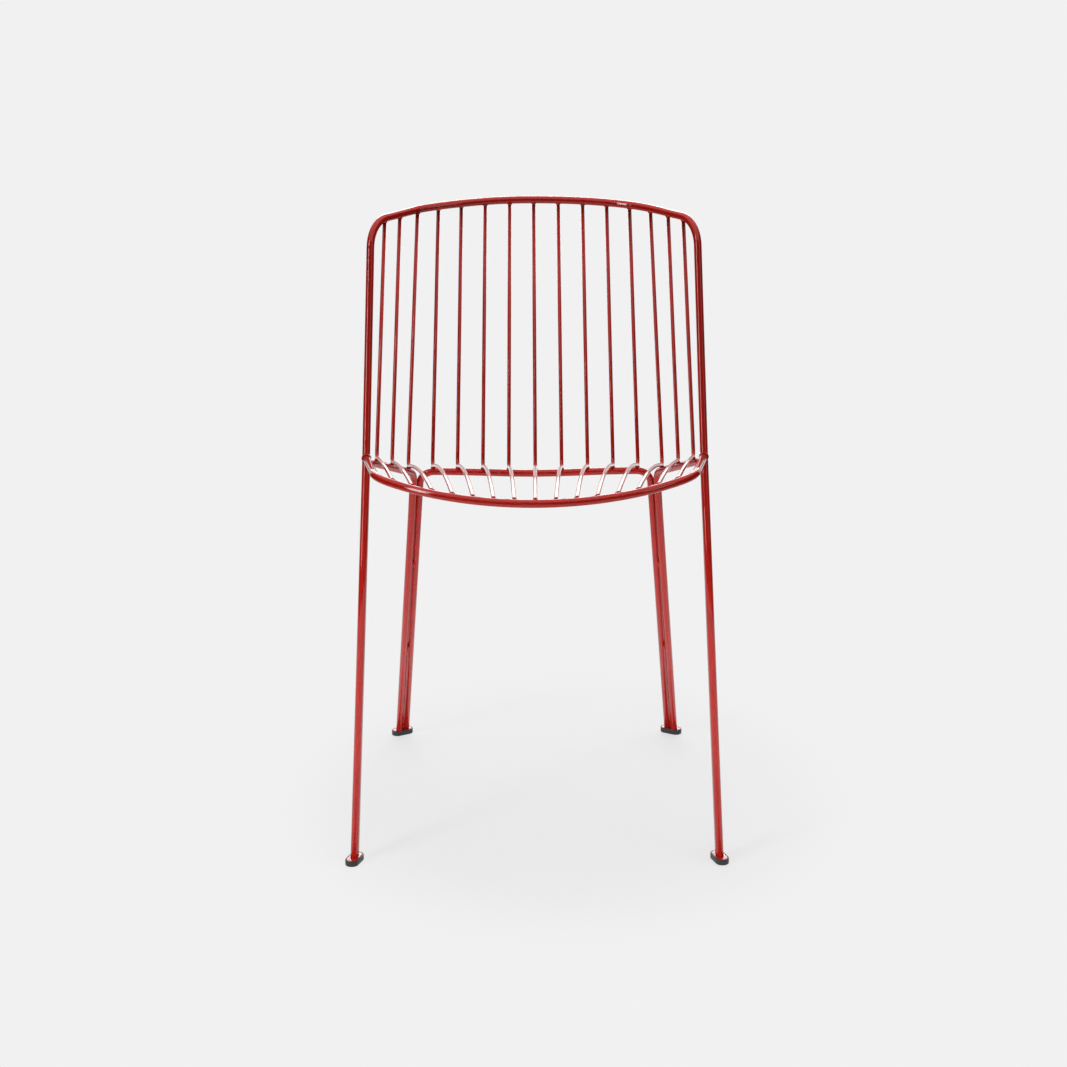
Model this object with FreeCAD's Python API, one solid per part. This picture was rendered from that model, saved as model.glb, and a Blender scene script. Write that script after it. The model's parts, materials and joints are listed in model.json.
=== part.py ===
import FreeCAD, Part
import math
import os

V = FreeCAD.Vector

# Armless stacking chair of solid steel rod and wire
# Frame: origin on the floor, midway between the feet, +Z up, the sitter faces -Y
# All lengths are in millimetres and all angles in degrees

# Stock
frame_rod_diameter = 10.0
wire_diameter = 5.0

# Feet on the floor, measured to the middle of each pair of rods
front_foot_x = 227.3
front_foot_y = -221.5
rear_foot_x = 198.4
rear_foot_y = 239.4

# Pairs of rods in the legs
pair_pitch = 12.8
front_pair_angle = 92.0
rear_pair_angle = 48.0

# Knee of the front leg, where the seat meets the upright
upright_seat_x = 215.3
upright_seat_y = -43.2
upright_seat_z = 476.6
upright_knee_radius = 160.0

# Back uprights, from the knee to the top corner
upright_rise = 291.4
upright_setback = 75.8
upright_narrowing = 7.4

# Top rail of the back, from the top corners to the middle
top_rail_corner_radius = 44.0
top_rail_toe_angle = 58.0
top_rail_toe_length = 48.0
top_rail_bow = 124.4
top_rail_crown = 17.0
toe_crown_share = 0.21
shoulder_width_share = 0.683
shoulder_bow_share = 0.69
shoulder_crown_share = 0.58
flat_width_share = 0.385
flat_bow_share = 0.92
flat_crown_share = 0.87

# Rear legs and crossbar, measured from the knee of the front leg
crossbar_drop = 54.6
crossbar_setback = 159.5
rear_leg_top_x = 160.8
crossbar_bend_radius = 20.0
crossbar_sag = 3.0

# Side rails
side_rail_front_drop = 7.1
side_rail_front_bend_radius = 25.0
side_rail_rear_bend_radius = 22.0

# Rim around the front of the seat, measured from the knee of the front leg
rim_corner_narrowing = 22.8
rim_corner_reach = 138.3
rim_corner_rise = 5.4
rim_corner_radius = 55.0
rim_corner_fullness = 0.64
rim_front_bow = 66.0
rim_front_sag = 18.0

# Seat and back wires
wires_per_side = 7
wires_on_crossbar_per_side = 4
wire_front_pitch = 24.3
wire_top_pitch = 32.8
wire_front_rise = 2.0
wire_crown_radius = 1400.0
wire_end_straight = 15.0
wire_bend_radius = 10.0
wire_bend_setback = 14.0
crossbar_wire_pitch = 36.4
crossbar_wire_closing = 0.4
side_rail_wire_setbacks = (136.2, 84.2, 37.0)

# Foot plates and glides
plate_length = 29.0
plate_width = 13.5
plate_thickness = 3.0
front_plate_angle = 72.0
rear_plate_angle = 32.0
glide_base_thickness = 4.5
glide_wall = 1.75
glide_edge_radius = 1.2
peg_diameter = 4.0
peg_pitch = 17.0
peg_length = 2.4

# Welds
tack_radius = 3.0
tack_length = 9.0
tack_heights = (0.345, 0.665)
bead_flare = 1.3
bead_tip = 0.25
bead_height = 2.2
bead_sink = 1.2
crossing_bead_radius = 3.3

# Derived sizes
frame_rod_radius = frame_rod_diameter / 2
wire_radius = wire_diameter / 2
plate_top_z = glide_base_thickness + plate_thickness
crossbar_z = upright_seat_z - crossbar_drop
rear_leg_top_y = upright_seat_y + crossbar_setback
upright_top_x = upright_seat_x - upright_narrowing
upright_top_y = upright_seat_y + upright_setback
upright_top_z = upright_seat_z + upright_rise
rim_corner_x = upright_seat_x - rim_corner_narrowing
rim_corner_y = upright_seat_y - rim_corner_reach
rim_corner_z = upright_seat_z + rim_corner_rise


# Geometry helpers
def mirrored_point(p):
    return V(-p.x, p.y, p.z)


def mirrored(shape):
    return shape.mirror(V(0, 0, 0), V(1, 0, 0))


def towards(a, b):
    return b.sub(a).normalize()


def along(p, direction, distance):
    return p.add(V(direction).multiply(distance))


def corner_arc(before, corner, after, radius):
    # Tangent arc that rounds one corner of a bent rod
    a = towards(corner, before)
    b = towards(corner, after)
    half = a.getAngle(b) / 2
    reach = radius / math.tan(half)
    start = along(corner, a, reach)
    end = along(corner, b, reach)
    inward = a.add(b).normalize()
    centre = along(corner, inward, radius / math.sin(half))
    middle = along(centre, towards(centre, corner), radius)
    return start, Part.Arc(start, middle, end).toShape(), end


def bent_edges(points, radii):
    # Straight lengths joined by one tangent arc at each inner point
    edges = []
    here = points[0]
    for i in range(1, len(points) - 1):
        start, arc, end = corner_arc(points[i - 1], points[i], points[i + 1], radii[i - 1])
        edges.append(Part.makeLine(here, start))
        edges.append(arc)
        here = end
    edges.append(Part.makeLine(here, points[-1]))
    return edges


def reversed_mirror(points):
    return [mirrored_point(p) for p in reversed(points)]


def swept(edges, diameter):
    # Round bar along a chain of edges
    path = Part.Wire(edges)
    first = edges[0]
    start = first.valueAt(first.FirstParameter)
    direction = first.tangentAt(first.FirstParameter)
    ring = Part.Wire(Part.makeCircle(diameter / 2, start, direction))
    bar = path.makePipeShell([ring], True, False)
    if bar.Volume < 0:
        bar.reverse()
    return bar


def point_on(edges, distance):
    # Point and direction at a distance along a chain of edges
    for edge in edges:
        if distance <= edge.Length:
            t = edge.getParameterByLength(distance)
            return edge.valueAt(t), edge.tangentAt(t)
        distance = distance - edge.Length
    raise ValueError("the distance lies past the end of the chain")


def rod_stub(centre, direction, diameter, half_length):
    # Short straight bar that stands for a rod close to one point
    start = along(centre, direction, -half_length)
    return Part.makeCylinder(diameter / 2, 2 * half_length, start, direction)


def below(z):
    return Part.makeBox(2000, 2000, 500, V(-1000, -1000, z - 500))


# Leg geometry, right side
def front_pair_offset():
    a = math.radians(front_pair_angle)
    return V(-math.cos(a), math.sin(a), 0).multiply(pair_pitch)


def rear_pair_offset():
    a = math.radians(rear_pair_angle)
    return V(-math.cos(a), math.sin(a), 0).multiply(pair_pitch)


def front_outer_foot():
    return along(V(front_foot_x, front_foot_y, 0), front_pair_offset(), -0.5)


def front_inner_foot():
    return along(V(front_foot_x, front_foot_y, 0), front_pair_offset(), 0.5)


def upright_seat():
    return V(upright_seat_x, upright_seat_y, upright_seat_z)


def upright_top():
    return V(upright_top_x, upright_top_y, upright_top_z)


def side_rail_front():
    # Corner of the side hoop, on a line parallel to the front leg
    foot = front_outer_foot()
    fraction = 1 - side_rail_front_drop / upright_seat_z
    on_leg = along(foot, upright_seat().sub(foot), fraction)
    return on_leg.add(front_pair_offset())


def rear_outer_top():
    return along(V(rear_leg_top_x, rear_leg_top_y, crossbar_z), rear_pair_offset(), -0.5)


def rear_inner_top():
    return along(V(rear_leg_top_x, rear_leg_top_y, crossbar_z), rear_pair_offset(), 0.5)


def rear_outer_foot():
    return along(V(rear_foot_x, rear_foot_y, 0), rear_pair_offset(), -0.5)


def rear_inner_foot():
    return along(V(rear_foot_x, rear_foot_y, 0), rear_pair_offset(), 0.5)


# Centre lines
def top_rail_toe():
    a = math.radians(top_rail_toe_angle)
    step = V(-math.cos(a), math.sin(a), 0).multiply(top_rail_toe_length)
    return upright_top().add(step).add(V(0, 0, top_rail_crown * toe_crown_share))


def top_rail_place(width_share, bow_share, crown_share):
    return V(
        upright_top_x * width_share,
        upright_top_y + top_rail_bow * bow_share,
        upright_top_z + top_rail_crown * crown_share,
    )


def top_rail_curve():
    # Bowed rail from the right toe to the left toe
    half = [
        top_rail_toe(),
        top_rail_place(shoulder_width_share, shoulder_bow_share, shoulder_crown_share),
        top_rail_place(flat_width_share, flat_bow_share, flat_crown_share),
    ]
    middle = top_rail_place(0, 1, 1)
    points = half + [middle] + reversed_mirror(half)
    start = towards(upright_top(), top_rail_toe())
    end = V(start.x, -start.y, -start.z)
    curve = Part.BSplineCurve()
    curve.interpolate(Points=points, InitialTangent=start, FinalTangent=end)
    return curve.toShape()


def back_frame_edges():
    right = [front_outer_foot(), upright_seat(), upright_top(), top_rail_toe()]
    radii = [upright_knee_radius, top_rail_corner_radius]
    left = reversed_mirror(right)
    return bent_edges(right, radii) + [top_rail_curve()] + bent_edges(left, radii[::-1])


def side_hoop_edges():
    points = [front_inner_foot(), side_rail_front(), rear_outer_top(), rear_outer_foot()]
    return bent_edges(points, [side_rail_front_bend_radius, side_rail_rear_bend_radius])


def crossbar_bend():
    # Arc between the right rear leg and the crossbar
    top = rear_inner_top()
    return corner_arc(rear_inner_foot(), top, mirrored_point(top), crossbar_bend_radius)


def crossbar_curve():
    # Crossbar from the right bend to the left one, a little lower in the middle
    start, arc, end = crossbar_bend()
    middle = V(0, end.y, end.z - crossbar_sag)
    curve = Part.BSplineCurve()
    curve.interpolate(
        Points=[end, middle, mirrored_point(end)],
        InitialTangent=V(-1, 0, 0),
        FinalTangent=V(-1, 0, 0),
    )
    return curve


def rear_hoop_edges():
    start, arc, end = crossbar_bend()
    left_start, left_arc, left_end = corner_arc(
        rear_inner_top(),
        mirrored_point(rear_inner_top()),
        mirrored_point(rear_inner_foot()),
        crossbar_bend_radius,
    )
    right = [Part.makeLine(rear_inner_foot(), start), arc]
    left = [left_arc, Part.makeLine(left_end, mirrored_point(rear_inner_foot()))]
    return right + [crossbar_curve().toShape()] + left


def rim_corner():
    return V(rim_corner_x, rim_corner_y, rim_corner_z)


def rim_front_arc():
    # Bowed front rail between the two corners
    middle = V(0, rim_corner_y - rim_front_bow, rim_corner_z - rim_front_sag)
    return Part.Arc(rim_corner(), middle, mirrored_point(rim_corner()))


def rim_edges():
    # Side length, tight corner, bowed front, tight corner, side length
    front = rim_front_arc()
    start = front.FirstParameter
    out = V(front.tangent(start)[0]).normalize()
    a = towards(rim_corner(), upright_seat())
    half = a.getAngle(out) / 2
    reach = rim_corner_radius / math.tan(half)
    front_edge = front.toShape()
    t0 = front_edge.getParameterByLength(reach)
    t1 = front_edge.getParameterByLength(front_edge.Length - reach)
    p0 = front_edge.valueAt(t0)
    begin = along(rim_corner(), a, reach)
    tangent = front_edge.tangentAt(t0)
    corner = Part.BezierCurve()
    pull = reach * rim_corner_fullness
    corner.setPoles([begin, along(begin, a, -pull), along(p0, tangent, -pull), p0])
    side = Part.makeLine(upright_seat(), begin)
    middle = front_edge.Curve.toShape(t0, t1)
    p1 = front_edge.valueAt(t1)
    end = mirrored_point(begin)
    left_a = mirrored_point(a)
    left_tangent = mirrored_point(tangent)
    far_corner = Part.BezierCurve()
    far_corner.setPoles([p1, along(p1, left_tangent, -pull), along(end, left_a, -pull), end])
    far_side = Part.makeLine(end, mirrored_point(upright_seat()))
    return [side, corner.toShape(), middle, far_corner.toShape(), far_side]


# Bent rods of the frame
def back_frame():
    return swept(back_frame_edges(), frame_rod_diameter).cut(below(plate_top_z))


def side_hoop():
    return swept(side_hoop_edges(), frame_rod_diameter).cut(below(plate_top_z))


def rear_hoop():
    return swept(rear_hoop_edges(), frame_rod_diameter).cut(below(plate_top_z))


def seat_rim(frame):
    return swept(rim_edges(), frame_rod_diameter).cut(frame)


# Wires
def point_at(curve, x, guess):
    # Point and direction of a curve at a sideways position
    t = curve.parameter(guess)
    for i in range(8):
        error = curve.value(t).x - x
        slope = curve.getD1(t)[1].x
        t = t - error / slope
    return curve.value(t), V(curve.tangent(t)[0]).normalize()


def rim_point(x):
    return point_at(rim_front_arc(), x, V(x, rim_corner_y, rim_corner_z))


def crossbar_point(x):
    return point_at(crossbar_curve(), x, V(x, rear_inner_top().y, crossbar_z))


def top_rail_point(number):
    edges = back_frame_edges()
    total = sum(edge.Length for edge in edges)
    return point_on(edges, total / 2 - number * wire_top_pitch)


def side_rail_point(y):
    a = side_rail_front()
    b = rear_outer_top()
    fraction = (y - a.y) / (b.y - a.y)
    return along(a, b.sub(a), fraction), towards(a, b)


def rest_point(number):
    # Point of a rail that a wire rests on, with the direction of that rail
    if abs(number) <= wires_on_crossbar_per_side:
        n = abs(number)
        return crossbar_point(crossbar_wire_pitch * n - crossbar_wire_closing * n * n)
    index = number - wires_on_crossbar_per_side - 1
    return side_rail_point(upright_seat_y + side_rail_wire_setbacks[index])


def laid_on(rail, rail_direction, run):
    # Centre of a wire that runs across a rail and touches it from above
    up = rail_direction.cross(run).normalize()
    if up.z < 0:
        up = up.multiply(-1)
    return along(rail, up, frame_rod_radius + wire_radius)


def wire_points(number):
    # Front end, crown, bend and top end of one wire, right side or middle
    front = rim_point(number * wire_front_pitch)[0].add(V(0, 0, wire_front_rise))
    rail, rail_direction = rest_point(number)
    rest = laid_on(rail, rail_direction, towards(front, rail))
    half = front.sub(rest).Length / 2
    rise = half * (half - wire_end_straight) / wire_crown_radius
    crown = front.add(rest).multiply(0.5).add(V(0, 0, rise))
    rest = laid_on(rail, rail_direction, towards(crown, rest))
    bend = along(rest, towards(crown, rest), wire_bend_setback)
    top = top_rail_point(number)[0]
    return front, crown, bend, top, rest


def seat_back_wire(number, frame):
    front, crown, bend, top, rest = wire_points(number)
    bar = swept(
        bent_edges([front, crown, bend, top], [wire_crown_radius, wire_bend_radius]),
        wire_diameter,
    )
    centre, direction = rim_point(number * wire_front_pitch)
    return bar.cut(rod_stub(centre, direction, frame_rod_diameter, 20)).cut(frame)


# Feet
def stadium(length, width, height):
    r = width / 2
    half = (length - width) / 2
    block = Part.makeBox(length - width, width, height, V(-half, -r, 0))
    ends = [Part.makeCylinder(r, height, V(s * half, 0, 0)) for s in (-1, 1)]
    return block.fuse(ends).removeSplitter()


def placed_foot(shape, x, y, angle):
    shape.rotate(V(0, 0, 0), V(0, 0, 1), 180 - angle)
    shape.translate(V(x, y, 0))
    return shape


def foot_plate():
    plate = stadium(plate_length, plate_width, plate_thickness)
    for s in (-1, 1):
        plate = plate.cut(Part.makeCylinder(peg_diameter / 2, plate_thickness, V(s * peg_pitch / 2, 0, 0)))
    plate.translate(V(0, 0, glide_base_thickness))
    return plate


def foot_glide():
    # Moulded tray with a raised wall around the plate and two pegs
    outer = stadium(plate_length + 2 * glide_wall, plate_width + 2 * glide_wall, plate_top_z)
    bottom = [e for e in outer.Edges if abs(e.BoundBox.ZMax) < 0.01]
    outer = outer.makeFillet(glide_edge_radius, bottom)
    recess = stadium(plate_length, plate_width, plate_thickness)
    recess.translate(V(0, 0, glide_base_thickness))
    tray = outer.cut(recess)
    for s in (-1, 1):
        centre = V(s * peg_pitch / 2, 0, glide_base_thickness - 1)
        tray = tray.fuse(Part.makeCylinder(peg_diameter / 2, peg_length + 1, centre))
    return tray.removeSplitter()


# Welds
def leg_tacks():
    pairs = (
        (front_outer_foot(), upright_seat(), front_pair_offset()),
        (rear_outer_foot(), rear_outer_top(), rear_pair_offset()),
    )
    tacks = []
    for foot, top, offset in pairs:
        run = towards(foot, top)
        for height in tack_heights:
            first = along(foot, top.sub(foot), height)
            middle = along(first, offset, 0.5)
            bead = rod_stub(middle, run, 2 * tack_radius, tack_length / 2)
            for centre in (first, first.add(offset)):
                bead = bead.cut(rod_stub(centre, run, frame_rod_diameter, tack_length))
            tacks.append(bead)
    return tacks


def end_bead(end, direction, rail, bar_diameter):
    # Flared bead where a bar meets a rail
    start = along(end, direction, frame_rod_radius - bead_sink)
    base = bar_diameter / 2 + bead_flare
    tip = bar_diameter / 2 + bead_tip
    cone = Part.makeCone(base, tip, bead_height, start, direction)
    return cone.cut(rail).cut(rod_stub(end, direction, bar_diameter, 14))


def top_rail_bead(number, frame):
    front, crown, bend, top, rest = wire_points(number)
    return end_bead(top, towards(top, bend), frame, wire_diameter)


def front_rail_bead(number, rim):
    front, crown, bend, top, rest = wire_points(number)
    return end_bead(front, towards(front, crown), rim, wire_diameter)


def crossing_bead(number):
    front, crown, bend, top, rest = wire_points(number)
    rail, rail_direction = rest_point(number)
    contact = along(rail, towards(rail, rest), frame_rod_radius)
    ball = Part.makeSphere(crossing_bead_radius, contact)
    ball = ball.cut(rod_stub(rail, rail_direction, frame_rod_diameter, 12))
    return ball.cut(rod_stub(rest, towards(crown, bend), wire_diameter, 12))


def rim_end_bead(frame):
    return end_bead(
        upright_seat(),
        towards(upright_seat(), rim_corner()),
        frame,
        frame_rod_diameter,
    )


# Writing the nodes
def save(name, shape):
    shape.exportStep("parts/" + name + ".step")


def both_sides(beads):
    return beads + [mirrored(bead) for bead in beads]


def save_group(name, solids):
    save(name, Part.makeCompound(solids))


def build_frame():
    frame = back_frame()
    save("back_frame", frame)
    hoop = side_hoop()
    save("side_hoop_right", hoop)
    save("side_hoop_left", mirrored(hoop))
    save("rear_hoop", rear_hoop())
    rim = seat_rim(frame)
    save("seat_rim", rim)
    return frame, rim


def build_wires(frame):
    save("wire_middle", seat_back_wire(0, frame))
    for number in range(1, wires_per_side + 1):
        wire = seat_back_wire(number, frame)
        save("wire_right_" + str(number), wire)
        save("wire_left_" + str(number), mirrored(wire))


def build_feet():
    places = (
        ("front", front_foot_x, front_foot_y, front_plate_angle),
        ("rear", rear_foot_x, rear_foot_y, rear_plate_angle),
    )
    for end, x, y, angle in places:
        plate = placed_foot(foot_plate(), x, y, angle)
        glide = placed_foot(foot_glide(), x, y, angle)
        save("foot_plate_" + end + "_right", plate)
        save("foot_plate_" + end + "_left", mirrored(plate))
        save("glide_" + end + "_right", glide)
        save("glide_" + end + "_left", mirrored(glide))


def build_welds(frame, rim):
    numbers = range(1, wires_per_side + 1)
    save_group("leg_weld_tacks", both_sides(leg_tacks()))
    tops = both_sides([top_rail_bead(n, frame) for n in numbers])
    save_group("top_rail_weld_beads", tops + [top_rail_bead(0, frame)])
    fronts = both_sides([front_rail_bead(n, rim) for n in numbers])
    save_group("front_rail_weld_beads", fronts + [front_rail_bead(0, rim)])
    crossings = both_sides([crossing_bead(n) for n in numbers])
    save_group("wire_crossing_weld_beads", crossings + [crossing_bead(0)])
    save_group("rim_end_weld_beads", both_sides([rim_end_bead(frame)]))


os.makedirs("parts", exist_ok=True)
frame_shape, rim_shape = build_frame()
build_wires(frame_shape)
build_feet()
build_welds(frame_shape, rim_shape)
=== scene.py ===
import json
import math

import bmesh
import bpy
from mathutils import Matrix, Vector

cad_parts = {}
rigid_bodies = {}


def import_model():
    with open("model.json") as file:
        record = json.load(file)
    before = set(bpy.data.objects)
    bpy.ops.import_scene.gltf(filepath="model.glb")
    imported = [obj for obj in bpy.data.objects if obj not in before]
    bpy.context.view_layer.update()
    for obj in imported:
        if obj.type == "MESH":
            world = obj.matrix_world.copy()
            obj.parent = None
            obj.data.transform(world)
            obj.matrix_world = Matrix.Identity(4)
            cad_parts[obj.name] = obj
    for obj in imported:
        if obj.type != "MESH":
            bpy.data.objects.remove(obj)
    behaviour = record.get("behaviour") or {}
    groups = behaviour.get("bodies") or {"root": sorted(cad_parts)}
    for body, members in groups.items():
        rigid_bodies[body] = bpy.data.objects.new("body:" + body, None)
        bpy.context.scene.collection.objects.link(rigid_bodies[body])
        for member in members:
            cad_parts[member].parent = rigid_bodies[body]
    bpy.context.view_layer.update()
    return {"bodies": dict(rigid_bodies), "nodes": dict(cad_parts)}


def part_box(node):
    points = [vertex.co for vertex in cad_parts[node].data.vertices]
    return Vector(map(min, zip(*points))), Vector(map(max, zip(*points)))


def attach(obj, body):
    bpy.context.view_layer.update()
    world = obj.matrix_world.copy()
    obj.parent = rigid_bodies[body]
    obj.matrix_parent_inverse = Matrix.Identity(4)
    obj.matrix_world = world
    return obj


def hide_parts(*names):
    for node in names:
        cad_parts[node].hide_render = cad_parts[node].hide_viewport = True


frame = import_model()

bl_info = {
    "name": "Bistro chair of steel rod",
    "version": (1, 0, 0),
    "blender": (4, 5, 0),
    "location": "View3D > Sidebar > Bistro chair",
    "description": "Dresses the rods, wires, welds and feet of a steel chair on its stage",
    "category": "Object",
}

NODES = frame["nodes"]
BODY = next(iter(frame["bodies"]))
MILLIMETRE = 0.001

# Points nearer than this are one point, and edges turned more than these stay sharp
MERGE_DISTANCE = 0.001 * MILLIMETRE
ROD_SHARP_ANGLE = math.radians(62)
FOOT_SHARP_ANGLE = math.radians(50)

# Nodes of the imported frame, by kind of piece
FRAME_RODS = ("back_frame", "side_hoop_left", "side_hoop_right", "rear_hoop", "seat_rim")
SIDES = ("left", "right")
WIRES = ["wire_middle"]
WIRES += [f"wire_{side}_{number}" for side in SIDES for number in range(1, 8)]
WELDS = (
    "leg_weld_tacks",
    "top_rail_weld_beads",
    "front_rail_weld_beads",
    "wire_crossing_weld_beads",
    "rim_end_weld_beads",
)
FEET = [f"{end}_{side}" for end in ("front", "rear") for side in SIDES]


def linear(hex_colour):
    """Linear RGBA of an sRGB hex colour."""
    channels = [int(hex_colour[i:i + 2], 16) / 255 for i in (1, 3, 5)]
    return tuple(
        c / 12.92 if c <= 0.04045 else ((c + 0.055) / 1.055) ** 2.4 for c in channels
    ) + (1.0,)


class PaintSettings(bpy.types.PropertyGroup):
    """Red gloss paint on the steel."""

    colour: bpy.props.FloatVectorProperty(
        name="Colour",
        description="Body colour of the paint",
        subtype="COLOR",
        size=4,
        min=0.0,
        max=1.0,
        default=linear("#9C1A12"),
    )
    roughness: bpy.props.FloatProperty(
        name="Roughness",
        description="Roughness of the paint surface",
        min=0.0,
        max=1.0,
        default=0.07,
        subtype="FACTOR",
    )
    peel_spacing: bpy.props.FloatProperty(
        name="Peel spacing",
        description="Distance between the swells of the sprayed coat",
        default=2.5 * MILLIMETRE,
        min=0.1 * MILLIMETRE,
        unit="LENGTH",
    )
    peel_height: bpy.props.FloatProperty(
        name="Peel height",
        description="Height of the swells of the sprayed coat",
        default=0.012 * MILLIMETRE,
        min=0.0,
        unit="LENGTH",
    )


class GlideSettings(bpy.types.PropertyGroup):
    """Black plastic glides under the foot plates."""

    colour: bpy.props.FloatVectorProperty(
        name="Colour",
        description="Body colour of the plastic",
        subtype="COLOR",
        size=4,
        min=0.0,
        max=1.0,
        default=linear("#1B1B1E"),
    )
    roughness: bpy.props.FloatProperty(
        name="Roughness",
        description="Roughness of the moulded surface",
        min=0.0,
        max=1.0,
        default=0.42,
        subtype="FACTOR",
    )
    wall: bpy.props.FloatProperty(
        name="Wall",
        description="Thickness of the wall around the plate",
        default=1.75 * MILLIMETRE,
        min=0.5 * MILLIMETRE,
        unit="LENGTH",
    )
    edge_radius: bpy.props.FloatProperty(
        name="Edge radius",
        description="Radius of the moulded edges",
        default=0.55 * MILLIMETRE,
        min=0.1 * MILLIMETRE,
        unit="LENGTH",
    )
    base_thickness: bpy.props.FloatProperty(
        name="Base thickness",
        description="Plastic between the floor and the plate",
        default=4.5 * MILLIMETRE,
        min=1.0 * MILLIMETRE,
        unit="LENGTH",
    )
    front_angle: bpy.props.FloatProperty(
        name="Front angle",
        description="Turn of the front glides from the line between them",
        default=math.radians(72),
        subtype="ANGLE",
    )
    rear_angle: bpy.props.FloatProperty(
        name="Rear angle",
        description="Turn of the rear glides from the line between them",
        default=math.radians(32),
        subtype="ANGLE",
    )


class PlateSettings(bpy.types.PropertyGroup):
    """Steel foot plates under the pairs of rods."""

    length: bpy.props.FloatProperty(
        name="Length",
        description="Length of a foot plate",
        default=29.0 * MILLIMETRE,
        min=10.0 * MILLIMETRE,
        unit="LENGTH",
    )
    width: bpy.props.FloatProperty(
        name="Width",
        description="Width of a foot plate",
        default=13.5 * MILLIMETRE,
        min=5.0 * MILLIMETRE,
        unit="LENGTH",
    )
    thickness: bpy.props.FloatProperty(
        name="Thickness",
        description="Thickness of a foot plate",
        default=3.0 * MILLIMETRE,
        min=0.5 * MILLIMETRE,
        unit="LENGTH",
    )
    edge_radius: bpy.props.FloatProperty(
        name="Edge radius",
        description="Radius that the paint leaves on the plate's edge",
        default=0.4 * MILLIMETRE,
        min=0.1 * MILLIMETRE,
        unit="LENGTH",
    )


class StageSettings(bpy.types.PropertyGroup):
    """Floor, backdrop, lamps and camera."""

    background: bpy.props.FloatVectorProperty(
        name="Background",
        description="Colour of the floor and backdrop",
        subtype="COLOR",
        size=4,
        min=0.0,
        max=1.0,
        default=linear("#F1F1F1"),
    )
    key_power: bpy.props.FloatProperty(
        name="Key power",
        description="Power of the strip lamp at the front left",
        default=38.0,
        min=0.0,
        unit="POWER",
    )
    low_power: bpy.props.FloatProperty(
        name="Low power",
        description="Power of the low lamp that lights the legs from the front",
        default=3.4,
        min=0.0,
        unit="POWER",
    )
    fill_power: bpy.props.FloatProperty(
        name="Fill power",
        description="Power of the soft lamp at the front right",
        default=8.0,
        min=0.0,
        unit="POWER",
    )
    top_power: bpy.props.FloatProperty(
        name="Top power",
        description="Power of the wide lamp overhead",
        default=95.0,
        min=0.0,
        unit="POWER",
    )
    back_power: bpy.props.FloatProperty(
        name="Back power",
        description="Power of the wide lamp behind the chair",
        default=62.0,
        min=0.0,
        unit="POWER",
    )
    ambient: bpy.props.FloatProperty(
        name="Ambient",
        description="Light from the room all around",
        default=0.13,
        min=0.0,
    )


# Node trees
def add_node(tree, kind, links=None, settings=None, **inputs):
    """Adds a node with its settings, its input values and the links into it."""
    node = tree.nodes.new(kind)
    for name, value in (settings or {}).items():
        setattr(node, name, value)
    for name, value in inputs.items():
        node.inputs[name.replace("_", " ")].default_value = value
    for name, source in (links or {}).items():
        tree.links.new(source, node.inputs[name])
    return node


def empty_tree(name):
    """A new material and its node tree, with no nodes in it."""
    material = bpy.data.materials.new(name)
    material.use_nodes = True
    material.node_tree.nodes.clear()
    return material, material.node_tree


# Length of the thicker and thinner patches of the sprayed coat, and their change of gloss
PATCH_LENGTH = 40 * MILLIMETRE
PATCH_VALUES = (0.3, 0.7)
GLOSS_CHANGE = 0.15
ENAMEL_IOR = 1.5


def red_gloss_enamel(paint):
    """Sprayed and baked gloss enamel on steel rod.

    It gives the eye a deep even red, sharp pale streaks along each rod and a white
    sheen where the rod is seen at a flat angle. The swells of the sprayed coat only
    soften the edges of the streaks.
    """
    material, tree = empty_tree("red_gloss_enamel")
    place = add_node(tree, "ShaderNodeTexCoord")
    swells = add_node(
        tree,
        "ShaderNodeTexNoise",
        {"Vector": place.outputs["Object"]},
        Scale=1 / paint.peel_spacing,
        Detail=1.0,
        Roughness=0.4,
    )
    patches = add_node(
        tree,
        "ShaderNodeTexNoise",
        {"Vector": place.outputs["Object"]},
        Scale=1 / PATCH_LENGTH,
        Detail=2.0,
    )
    gloss = add_node(
        tree,
        "ShaderNodeMapRange",
        {"Value": patches.outputs["Fac"]},
        From_Min=PATCH_VALUES[0],
        From_Max=PATCH_VALUES[1],
        To_Min=paint.roughness * (1 - GLOSS_CHANGE),
        To_Max=paint.roughness * (1 + GLOSS_CHANGE),
    )
    bump = add_node(
        tree,
        "ShaderNodeBump",
        {"Height": swells.outputs["Fac"]},
        Strength=1.0,
        Distance=paint.peel_height,
    )
    coat = add_node(
        tree,
        "ShaderNodeBsdfPrincipled",
        {"Roughness": gloss.outputs["Result"], "Normal": bump.outputs["Normal"]},
        Base_Color=tuple(paint.colour),
        IOR=ENAMEL_IOR,
    )
    add_node(tree, "ShaderNodeOutputMaterial", {"Surface": coat.outputs["BSDF"]})
    return material


# The mould's grain is about 0.3 mm, drawn at twice that so that it shows
GRAIN_SPACING = 0.6 * MILLIMETRE
GRAIN_HEIGHT = 0.02 * MILLIMETRE
GRAIN_STRENGTH = 0.6
POLYAMIDE_IOR = 1.53


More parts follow.
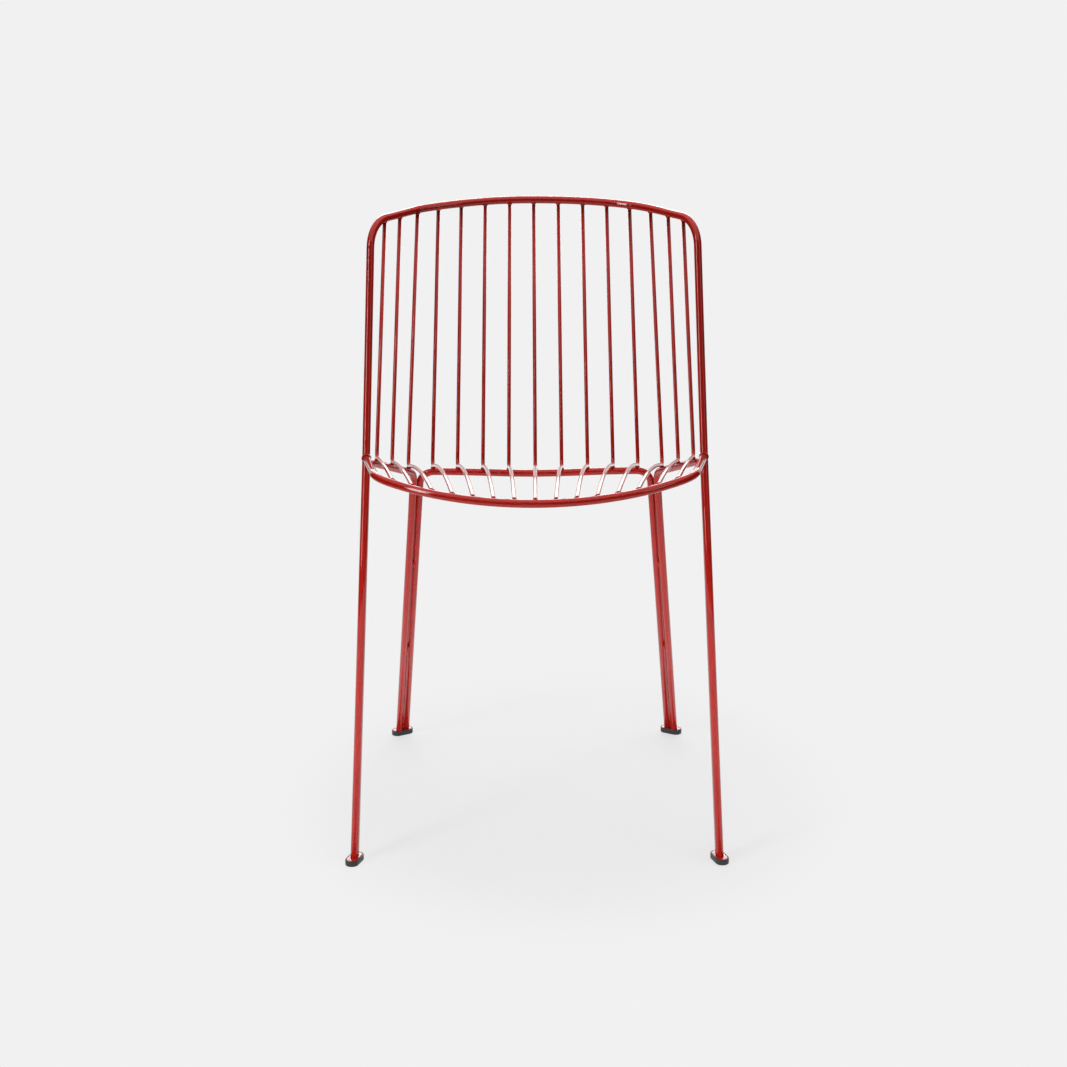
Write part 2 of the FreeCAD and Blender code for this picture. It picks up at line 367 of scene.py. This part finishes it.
def black_polyamide(glide):
    """Injection-moulded black polyamide.

    It gives the eye a soft dark grey sheen on the rounded wall, broken by the fine
    grain of the mould.
    """
    material, tree = empty_tree("black_polyamide")
    place = add_node(tree, "ShaderNodeTexCoord")
    grain = add_node(
        tree,
        "ShaderNodeTexNoise",
        {"Vector": place.outputs["Object"]},
        Scale=1 / GRAIN_SPACING,
        Detail=2.0,
    )
    bump = add_node(
        tree,
        "ShaderNodeBump",
        {"Height": grain.outputs["Fac"]},
        Strength=GRAIN_STRENGTH,
        Distance=GRAIN_HEIGHT,
    )
    plastic = add_node(
        tree,
        "ShaderNodeBsdfPrincipled",
        {"Normal": bump.outputs["Normal"]},
        Base_Color=tuple(glide.colour),
        Roughness=glide.roughness,
        IOR=POLYAMIDE_IOR,
    )
    add_node(tree, "ShaderNodeOutputMaterial", {"Surface": plastic.outputs["BSDF"]})
    return material


def sight_rays(tree):
    """A value of 1 for rays that see the background, and 0 for those that carry its light."""
    rays = add_node(tree, "ShaderNodeLightPath")
    capped_sum = {"operation": "ADD", "use_clamp": True}
    seen = {0: rays.outputs["Is Camera Ray"], 1: rays.outputs["Is Glossy Ray"]}
    direct = add_node(tree, "ShaderNodeMath", seen, capped_sum)
    through = {0: direct.outputs[0], 1: rays.outputs["Is Transmission Ray"]}
    return add_node(tree, "ShaderNodeMath", through, capped_sum).outputs[0]


# Middle and half lengths of the oval of floor that shows the chair's shadow, in metres,
# and the parts of its reach between which it fades into the plain paper
SHADOW_MIDDLE = (0.04, 0.04, 0.0)
SHADOW_REACH = (0.36, 0.46, 1.0)
SHADOW_FADE_START = 0.72
SHADOW_FADE_END = 1.15

# In that oval, the part of the paper's colour that shows by itself and the part that is lit
PAPER_GLOW = 0.69
PAPER_LIT = 0.2


def pale_paper(stage):
    """Seamless studio paper that shows its plain colour and keeps the shadow."""
    material, tree = empty_tree("pale_paper")
    colour = tuple(stage.background)
    lit_colour = tuple(c * PAPER_LIT for c in colour[:3]) + (1.0,)
    place = add_node(tree, "ShaderNodeTexCoord")
    from_middle = add_node(
        tree,
        "ShaderNodeMapping",
        {"Vector": place.outputs["Object"]},
        {"vector_type": "TEXTURE"},
        Location=SHADOW_MIDDLE,
        Scale=SHADOW_REACH,
    )
    distance = add_node(
        tree, "ShaderNodeVectorMath", {0: from_middle.outputs[0]}, {"operation": "LENGTH"}
    )
    near = add_node(
        tree,
        "ShaderNodeMapRange",
        {"Value": distance.outputs["Value"]},
        {"interpolation_type": "SMOOTHSTEP"},
        From_Min=SHADOW_FADE_START,
        From_Max=SHADOW_FADE_END,
        To_Min=1.0,
        To_Max=0.0,
    )
    plain = add_node(tree, "ShaderNodeEmission", Color=colour, Strength=1.0)
    glow = add_node(tree, "ShaderNodeEmission", Color=colour, Strength=PAPER_GLOW)
    lit = add_node(tree, "ShaderNodeBsdfDiffuse", Color=lit_colour)
    shaded = add_node(tree, "ShaderNodeAddShader", {0: glow.outputs[0], 1: lit.outputs[0]})
    shown = add_node(
        tree,
        "ShaderNodeMixShader",
        {0: near.outputs[0], 1: plain.outputs[0], 2: shaded.outputs[0]},
    )
    paper = add_node(tree, "ShaderNodeBsdfDiffuse", Color=colour)
    mix = add_node(
        tree,
        "ShaderNodeMixShader",
        {0: sight_rays(tree), 1: paper.outputs[0], 2: shown.outputs[0]},
    )
    add_node(tree, "ShaderNodeOutputMaterial", {"Surface": mix.outputs[0]})
    return material


def black_cloth():
    """Matt black cloth round the studio, which gives the gloss its dark edges."""
    material, tree = empty_tree("black_cloth")
    cloth = add_node(tree, "ShaderNodeBsdfDiffuse", Color=linear("#1D1D1D"))
    add_node(tree, "ShaderNodeOutputMaterial", {"Surface": cloth.outputs["BSDF"]})
    return material


def finish_named(name):
    """The named material, made once from the settings of the scene."""
    if name in bpy.data.materials:
        return bpy.data.materials[name]
    scene = bpy.context.scene
    makers = {
        "red_gloss_enamel": lambda: red_gloss_enamel(scene.chair_paint),
        "black_polyamide": lambda: black_polyamide(scene.chair_glides),
        "pale_paper": lambda: pale_paper(scene.chair_stage),
        "black_cloth": black_cloth,
    }
    return makers[name]()


# Pieces
def give_material(target, name):
    """Makes the named material an object's only one."""
    target.data.materials.clear()
    target.data.materials.append(finish_named(name))


def mesh_object(name, shape, material_name):
    """An object of the scene from a finished bmesh."""
    mesh = bpy.data.meshes.new(name)
    shape.to_mesh(mesh)
    shape.free()
    made = bpy.data.objects.new(name, mesh)
    bpy.context.scene.collection.objects.link(made)
    give_material(made, material_name)
    return made


def smooth_piece(name, shape, material_name, sharp_angle):
    """A piece of the chair, smooth up to a sharp angle."""
    piece = mesh_object(name, shape, material_name)
    piece.data.shade_smooth()
    piece.data.set_sharp_from_angle(angle=sharp_angle)
    return piece


def seat_piece(piece, node):
    """Sets a piece on the chair's one body in place of a CAD node."""
    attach(piece, BODY)
    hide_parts(node)


def paint_metal(nodes):
    """Joined, smooth and painted copies of rods, wires or welds, in their places."""
    for node in nodes:
        give_material(NODES[node], "red_gloss_enamel")
        shape = bmesh.new()
        shape.from_mesh(NODES[node].data)
        bmesh.ops.remove_doubles(shape, verts=shape.verts, dist=MERGE_DISTANCE)
        name = "painted_" + node
        piece = smooth_piece(name, shape, "red_gloss_enamel", ROD_SHARP_ANGLE)
        seat_piece(piece, node)


# Sides of a plate's two round ends together, and facets across a rounded edge
END_SIDES = 48
EDGE_FACETS = 3


def stadium(length, width):
    """A flat oblong face with round ends, on the XY plane."""
    shape = bmesh.new()
    bmesh.ops.create_circle(shape, cap_ends=True, segments=END_SIDES, radius=width / 2)
    half_step = Matrix.Rotation(math.pi / END_SIDES, 4, "Z")
    bmesh.ops.rotate(shape, verts=shape.verts, matrix=half_step)
    for side in (-1, 1):
        end = [v for v in shape.verts if v.co.x * side > 0]
        bmesh.ops.translate(shape, verts=end, vec=(side * (length - width) / 2, 0, 0))
    return shape


def raise_faces(shape, faces, height, keep_below=False):
    """Extrudes faces straight up, or down, and may keep the faces that they came from."""
    made = bmesh.ops.extrude_face_region(shape, geom=faces, use_keep_orig=keep_below)["geom"]
    points = [g for g in made if isinstance(g, bmesh.types.BMVert)]
    bmesh.ops.translate(shape, verts=points, vec=(0, 0, height))


def round_edges(shape, edges, radius):
    """Rolls sharp edges over to a radius."""
    bmesh.ops.bevel(
        shape,
        geom=edges,
        offset=radius,
        offset_type="OFFSET",
        affect="EDGES",
        segments=EDGE_FACETS,
        profile=0.5,
        material=-1,
        clamp_overlap=True,
    )


# Edges this level and this near to a height count as lying at it
LEVEL_TOLERANCE = 1e-7
HEIGHT_TOLERANCE = 1e-6
CORNER_ANGLE = math.radians(60)


def corner_edges(shape, heights):
    """Edges round the outline that lie flat at the given heights and turn a corner."""
    found = []
    for edge in shape.edges:
        low, high = sorted(v.co.z for v in edge.verts)
        level = high - low < LEVEL_TOLERANCE
        placed = any(abs(low - height) < HEIGHT_TOLERANCE for height in heights)
        if level and placed and edge.is_manifold and edge.calc_face_angle(0) > CORNER_ANGLE:
            found.append(edge)
    return found


# A face counts as facing up when its normal rises at least this much
UPWARD = 0.9


def upward_faces(shape):
    return [f for f in shape.faces if f.normal.z > UPWARD]


def solid_from_face(shape, height):
    """Turns a flat face into a closed block and gives its top faces."""
    raise_faces(shape, list(shape.faces), height, keep_below=True)
    bmesh.ops.recalc_face_normals(shape, faces=shape.faces)
    return upward_faces(shape)


def plate_shape(plate, glide):
    """An oblong plate with rounded edges, at its height in the glide."""
    shape = stadium(plate.length, plate.width)
    solid_from_face(shape, plate.thickness)
    rims = corner_edges(shape, (0, plate.thickness))
    round_edges(shape, rims, plate.edge_radius)
    bmesh.ops.translate(shape, verts=shape.verts, vec=(0, 0, glide.base_thickness))
    return shape


# The inset leaves strips of four sides round the recess, which has many sides itself
SIDES_OF_A_STRIP = 4

# The edge at the floor is rounder than the edge at the top of the wall
FLOOR_EDGE_TIMES = 2


def glide_shape(plate, glide):
    """A tray: oblong block, wall left standing round the recess for the plate."""
    top = glide.base_thickness + plate.thickness
    shape = stadium(plate.length + 2 * glide.wall, plate.width + 2 * glide.wall)
    lid = solid_from_face(shape, top)
    bmesh.ops.inset_region(shape, faces=lid, thickness=glide.wall, use_even_offset=True)
    recess = [f for f in upward_faces(shape) if len(f.verts) > SIDES_OF_A_STRIP]
    raise_faces(shape, recess, -plate.thickness)
    bmesh.ops.delete(shape, geom=[f for f in recess if f.is_valid], context="FACES_ONLY")
    bmesh.ops.recalc_face_normals(shape, faces=shape.faces)
    round_edges(shape, corner_edges(shape, (0,)), glide.edge_radius * FLOOR_EDGE_TIMES)
    round_edges(shape, corner_edges(shape, (top,)), glide.edge_radius)
    return shape


def place_foot(shape, foot):
    """Turns and moves a foot piece to the middle of its CAD glide."""
    glide = bpy.context.scene.chair_glides
    angle = glide.front_angle if foot.startswith("front") else glide.rear_angle
    turn = angle if foot.endswith("left") else math.pi - angle
    low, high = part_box("glide_" + foot)
    middle = (low + high) / 2
    bmesh.ops.rotate(shape, verts=shape.verts, matrix=Matrix.Rotation(turn, 4, "Z"))
    bmesh.ops.translate(shape, verts=shape.verts, vec=(middle.x, middle.y, 0))


def dress_feet(node_kind, piece_kind, make_shape, material_name):
    """A new piece in place of the plate or the glide of each foot."""
    scene = bpy.context.scene
    for foot in FEET:
        node = f"{node_kind}_{foot}"
        give_material(NODES[node], material_name)
        shape = make_shape(scene.chair_plates, scene.chair_glides)
        place_foot(shape, foot)
        name = f"{piece_kind}_{foot}"
        piece = smooth_piece(name, shape, material_name, FOOT_SHARP_ANGLE)
        seat_piece(piece, node)


class CHAIR_OT_frame_rods(bpy.types.Operator):
    """Paint the thick bent rods of the frame"""

    bl_idname = "chair.frame_rods"
    bl_label = "Frame rods"

    def execute(self, context):
        paint_metal(FRAME_RODS)
        return {"FINISHED"}


class CHAIR_OT_seat_wires(bpy.types.Operator):
    """Paint the wires of the seat and back"""

    bl_idname = "chair.seat_wires"
    bl_label = "Seat and back wires"

    def execute(self, context):
        paint_metal(WIRES)
        return {"FINISHED"}


class CHAIR_OT_welds(bpy.types.Operator):
    """Paint the weld beads and tacks"""

    bl_idname = "chair.welds"
    bl_label = "Welds"

    def execute(self, context):
        paint_metal(WELDS)
        return {"FINISHED"}


class CHAIR_OT_foot_plates(bpy.types.Operator):
    """Make the oblong steel plates under the rods"""

    bl_idname = "chair.foot_plates"
    bl_label = "Foot plates"

    def execute(self, context):
        dress_feet(
            "foot_plate", "painted_plate", plate_shape, "red_gloss_enamel"
        )
        return {"FINISHED"}


class CHAIR_OT_glides(bpy.types.Operator):
    """Make the moulded plastic glides"""

    bl_idname = "chair.glides"
    bl_label = "Glides"

    def execute(self, context):
        dress_feet(
            "glide", "moulded_glide", glide_shape, "black_polyamide"
        )
        return {"FINISHED"}


# Stage
FLOOR_RADIUS = 40
FLOOR_SIDES = 96


def paper_floor():
    """Round sheet of paper, so wide that it meets the backdrop at the horizon."""
    shape = bmesh.new()
    bmesh.ops.create_circle(shape, cap_ends=True, segments=FLOOR_SIDES, radius=FLOOR_RADIUS)
    mesh_object("paper_floor", shape, "pale_paper")


# Middle, width and height of each black cloth, its lean from the floor and its turn
UPRIGHT = math.radians(90)
SIDEWAYS = math.radians(90)
FLAGS = {
    "black_wall_left": ((-3.0, 0.45, 1.5), 6.9, 3.0, UPRIGHT, SIDEWAYS),
    "black_wall_right": ((3.0, 0.45, 1.5), 6.9, 3.0, UPRIGHT, SIDEWAYS),
    "black_wall_front": ((0, -3.0, 1.5), 6.0, 3.0, UPRIGHT, 0),
    "black_floor_left": ((-1.95, 0.45, 0.003), 2.1, 6.9, 0, 0),
    "black_floor_right": ((1.95, 0.45, 0.003), 2.1, 6.9, 0, 0),
    "black_floor_front": ((0, -2.2, 0.003), 1.8, 1.6, 0, 0),
}


def black_flag(name):
    """A black cloth round the paper that shows in the gloss and takes up stray light."""
    place, width, height, lean, turn = FLAGS[name]
    shape = bmesh.new()
    bmesh.ops.create_grid(shape, x_segments=1, y_segments=1, size=0.5)
    bmesh.ops.scale(shape, verts=shape.verts, vec=(width, height, 1))
    for angle, axis in ((lean, "X"), (turn, "Z")):
        tilt = Matrix.Rotation(angle, 4, axis)
        bmesh.ops.rotate(shape, verts=shape.verts, matrix=tilt)
    bmesh.ops.translate(shape, verts=shape.verts, vec=place)
    flag = mesh_object(name, shape, "black_cloth")
    flag.visible_camera = False
    flag.visible_shadow = False


# Middle, aim, width and height of each lamp
SEAT = (0, 0, 0.45)
LEGS = (0, 0.1, 0.12)
LAMPS = {
    "key_strip": ((-2.1, -1.7, 1.3), SEAT, 0.45, 2.4),
    "fill_panel": ((2.8, -2.0, 1.5), SEAT, 1.0, 2.0),
    "top_panel": ((0.2, 0.4, 3.0), SEAT, 2.4, 2.0),
    "low_strip": ((0, -2.1, 0.4), LEGS, 2.4, 0.25),
    "back_panel": ((0, 3.4, 1.7), SEAT, 2.4, 2.0),
}
LOW_STRIP_SPREAD = math.radians(26)


def soft_lamp(name, power):
    """A rectangular lamp aimed at a part of the chair."""
    place, aim, width, height = LAMPS[name]
    light = bpy.data.lights.new(name, "AREA")
    light.shape = "RECTANGLE"
    light.size = width
    light.size_y = height
    light.energy = power
    lamp = bpy.data.objects.new(name, light)
    bpy.context.scene.collection.objects.link(lamp)
    lamp.location = place
    lamp.rotation_euler = (Vector(aim) - Vector(place)).to_track_quat("-Z", "Y").to_euler()
    return lamp


def room_light(stage):
    """The room's plain light, with the background's colour where it is seen."""
    world = bpy.data.worlds.new("studio_room")
    bpy.context.scene.world = world
    world.use_nodes = True
    tree = world.node_tree
    tree.nodes.clear()
    white = linear("#FFFFFF")
    room = add_node(tree, "ShaderNodeBackground", Color=white, Strength=stage.ambient)
    colour = tuple(stage.background)
    shown = add_node(tree, "ShaderNodeBackground", Color=colour, Strength=1.0)
    mix = add_node(
        tree,
        "ShaderNodeMixShader",
        {0: sight_rays(tree), 1: room.outputs[0], 2: shown.outputs[0]},
    )
    add_node(tree, "ShaderNodeOutputWorld", {"Surface": mix.outputs[0]})


# Place in metres and turns of the camera, and its lens in pixels of the photograph
PHOTO_PIXELS = 1067
CAMERA_PLACE = (0.002, -2.4443, 0.9882)
CAMERA_PITCH = math.radians(14.305)
CAMERA_YAW = math.radians(-0.109)
CAMERA_ROLL = math.radians(-0.309)
FOCAL_PIXELS = 1924.9
SENSOR_WIDTH = 36.0


def photo_camera():
    """The camera that the photograph's perspective gives."""
    data = bpy.data.cameras.new("photo_camera")
    data.sensor_width = SENSOR_WIDTH
    data.lens = FOCAL_PIXELS / PHOTO_PIXELS * SENSOR_WIDTH
    camera = bpy.data.objects.new("photo_camera", data)
    bpy.context.scene.collection.objects.link(camera)
    turn = Matrix.Rotation(-CAMERA_YAW, 4, "Z")
    tilt = Matrix.Rotation(math.pi / 2 - CAMERA_PITCH, 4, "X")
    roll = Matrix.Rotation(CAMERA_ROLL, 4, "Z")
    camera.matrix_world = Matrix.Translation(CAMERA_PLACE) @ turn @ tilt @ roll
    bpy.context.scene.camera = camera


class CHAIR_OT_stage(bpy.types.Operator):
    """Set the paper, lamps, room light and camera"""

    bl_idname = "chair.stage"
    bl_label = "Stage"

    def execute(self, context):
        stage = context.scene.chair_stage
        paper_floor()
        room_light(stage)
        soft_lamp("key_strip", stage.key_power)
        soft_lamp("fill_panel", stage.fill_power)
        # The top and low lamps light the paint and leave no streak in its gloss
        top = soft_lamp("top_panel", stage.top_power)
        top.visible_glossy = False
        low = soft_lamp("low_strip", stage.low_power)
        low.data.spread = LOW_STRIP_SPREAD
        low.visible_glossy = False
        back = soft_lamp("back_panel", stage.back_power)
        back.visible_camera = False
        for name in FLAGS:
            black_flag(name)
        photo_camera()
        context.scene.view_settings.view_transform = "Standard"
        return {"FINISHED"}


class CHAIR_PT_panel(bpy.types.Panel):
    """Lists the steps that dress the chair"""

    bl_idname = "CHAIR_PT_panel"
    bl_label = "Bistro chair"
    bl_space_type = "VIEW_3D"
    bl_region_type = "UI"
    bl_category = "Bistro chair"

    def draw(self, context):
        for step in STEPS:
            self.layout.operator(step.bl_idname)
        for name in SETTINGS:
            group = getattr(context.scene, name)
            box = self.layout.box()
            for key in group.__annotations__:
                box.prop(group, key)


STEPS = (
    CHAIR_OT_frame_rods,
    CHAIR_OT_seat_wires,
    CHAIR_OT_welds,
    CHAIR_OT_foot_plates,
    CHAIR_OT_glides,
    CHAIR_OT_stage,
)

SETTINGS = {
    "chair_paint": PaintSettings,
    "chair_glides": GlideSettings,
    "chair_plates": PlateSettings,
    "chair_stage": StageSettings,
}


def register():
    for name, group in SETTINGS.items():
        bpy.utils.register_class(group)
        setattr(bpy.types.Scene, name, bpy.props.PointerProperty(type=group))
    for cls in STEPS + (CHAIR_PT_panel,):
        bpy.utils.register_class(cls)


def unregister():
    for cls in reversed(STEPS + (CHAIR_PT_panel,)):
        bpy.utils.unregister_class(cls)
    for name, group in SETTINGS.items():
        delattr(bpy.types.Scene, name)
        bpy.utils.unregister_class(group)


def main():
    register()
    bpy.ops.chair.frame_rods()
    bpy.ops.chair.seat_wires()
    bpy.ops.chair.welds()
    bpy.ops.chair.foot_plates()
    bpy.ops.chair.glides()
    bpy.ops.chair.stage()


if __name__ == "__main__":
    main()
